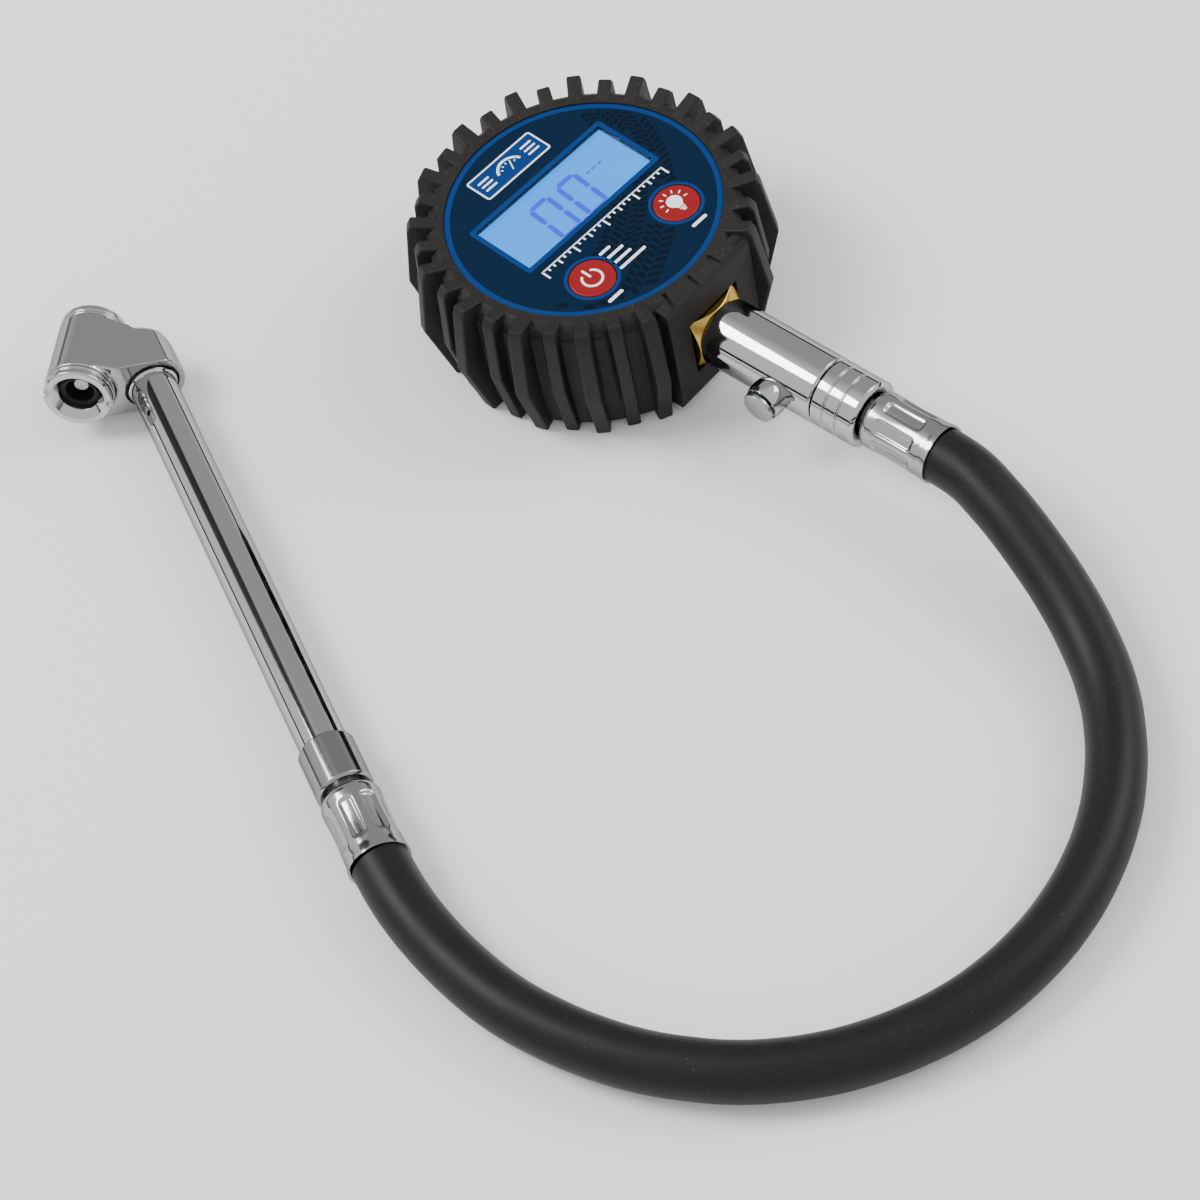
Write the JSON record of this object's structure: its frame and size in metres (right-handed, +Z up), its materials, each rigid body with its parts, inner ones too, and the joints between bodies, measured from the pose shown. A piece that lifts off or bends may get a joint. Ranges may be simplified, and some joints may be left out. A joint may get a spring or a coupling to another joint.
{
  "type": "tyre pressure gauge with hose and chuck",
  "caption": "Hand-held digital tyre pressure gauge in a lugged rubber boot, with a chrome stem, bleed button, short hose and twin-port angled chuck.",
  "frame": {"origin": "centre of the gauge's back, on the face that it rests on", "axes": "+Z up through the dial, the stem and its swivel run along -Y, +X to the right when the dial is read with the stem at the bottom"},
  "size_m": [0.1891, 0.2666, 0.0335],
  "materials": {
    "boot_rubber": "moulded matt rubber",
    "hose_rubber": "smooth extruded rubber",
    "seal_rubber": "nitrile seal",
    "case_plastic": "fine textured ABS",
    "label_film": "printed polycarbonate film",
    "button_plastic": "moulded, printed icon",
    "display_glass": "lit display cell",
    "lens_acrylic": "clear acrylic",
    "backlight_plastic": "white light guide",
    "board_laminate": "solder mask",
    "switch_plastic": "moulded",
    "cell_sleeve": "printed sleeve",
    "plain_steel": "zinc plated",
    "stem_brass": "machined",
    "body_chrome": "polished chrome plate",
    "ferrule_chrome": "satin crimped plate",
    "head_chrome": "plated casting",
    "spring_steel": "drawn wire"
  },
  "bodies": {
    "gauge": {"rubber_boot": "boot_rubber", "rear_case": "case_plastic", "battery_cover": "case_plastic", "battery_cover_screw": "plain_steel", "case_screws": "plain_steel", "batteries": "cell_sleeve", "battery_contacts": "plain_steel", "circuit_board": "board_laminate", "tact_switches": "switch_plastic", "backlight": "backlight_plastic", "lcd_panel": "display_glass", "window_lens": "lens_acrylic", "front_bezel": "case_plastic", "dial_label": "label_film", "pressure_sensor": "plain_steel", "stem_block": "stem_brass", "stem_seal": "seal_rubber", "valve_body": "body_chrome", "bleed_boss": "body_chrome", "bleed_spring": "spring_steel", "swivel_collar": "body_chrome", "swivel_seal": "seal_rubber"},
    "unit_button_cap": {"unit_button": "button_plastic"},
    "light_button_cap": {"light_button": "button_plastic"},
    "bleed_plunger": {"bleed_button": "body_chrome", "bleed_seal": "seal_rubber"},
    "hose_and_chuck": {"gauge_hose_tail": "stem_brass", "gauge_ferrule": "ferrule_chrome", "hose": "hose_rubber", "chuck_ferrule": "ferrule_chrome", "chuck_hose_tail": "stem_brass", "chuck_collar": "body_chrome", "chuck_tube": "body_chrome", "chuck_head": "head_chrome", "front_insert": "head_chrome", "rear_insert": "head_chrome", "front_seal": "seal_rubber", "rear_seal": "seal_rubber", "depressor_spring": "spring_steel"},
    "front_pin": {"front_depressor": "plain_steel"},
    "rear_pin": {"rear_depressor": "plain_steel"}
  },
  "joints": [
    {"name": "unit_button_press", "type": "slide", "parent": "gauge", "child": "unit_button_cap", "axis": [0, 0, -1], "range_m": [0, 0.0004], "stiffness_N_per_m": 800, "springref_m": -0.001},
    {"name": "light_button_press", "type": "slide", "parent": "gauge", "child": "light_button_cap", "axis": [0, 0, -1], "range_m": [0, 0.0004], "stiffness_N_per_m": 800, "springref_m": -0.001},
    {"name": "bleed_button_press", "type": "slide", "parent": "gauge", "child": "bleed_plunger", "axis": [1, 0, 0], "range_m": [0, 0.0014], "stiffness_N_per_m": 1200, "springref_m": -0.002},
    {"name": "hose_swivel", "type": "hinge", "parent": "gauge", "child": "hose_and_chuck", "pos_m": [0, -0.0775, 0.016], "axis": [0, -1, 0], "continuous": true},
    {"name": "front_depressor_press", "type": "slide", "parent": "hose_and_chuck", "child": "front_pin", "axis": [0.7868, 0.5985, -0.1507], "range_m": [0, 0.0018], "stiffness_N_per_m": 900, "springref_m": -0.002},
    {"name": "rear_depressor_press", "type": "slide", "parent": "hose_and_chuck", "child": "rear_pin", "axis": [-0.7868, -0.5985, 0.1507], "range_m": [0, 0.0018], "stiffness_N_per_m": 900, "springref_m": -0.002}
  ]
}
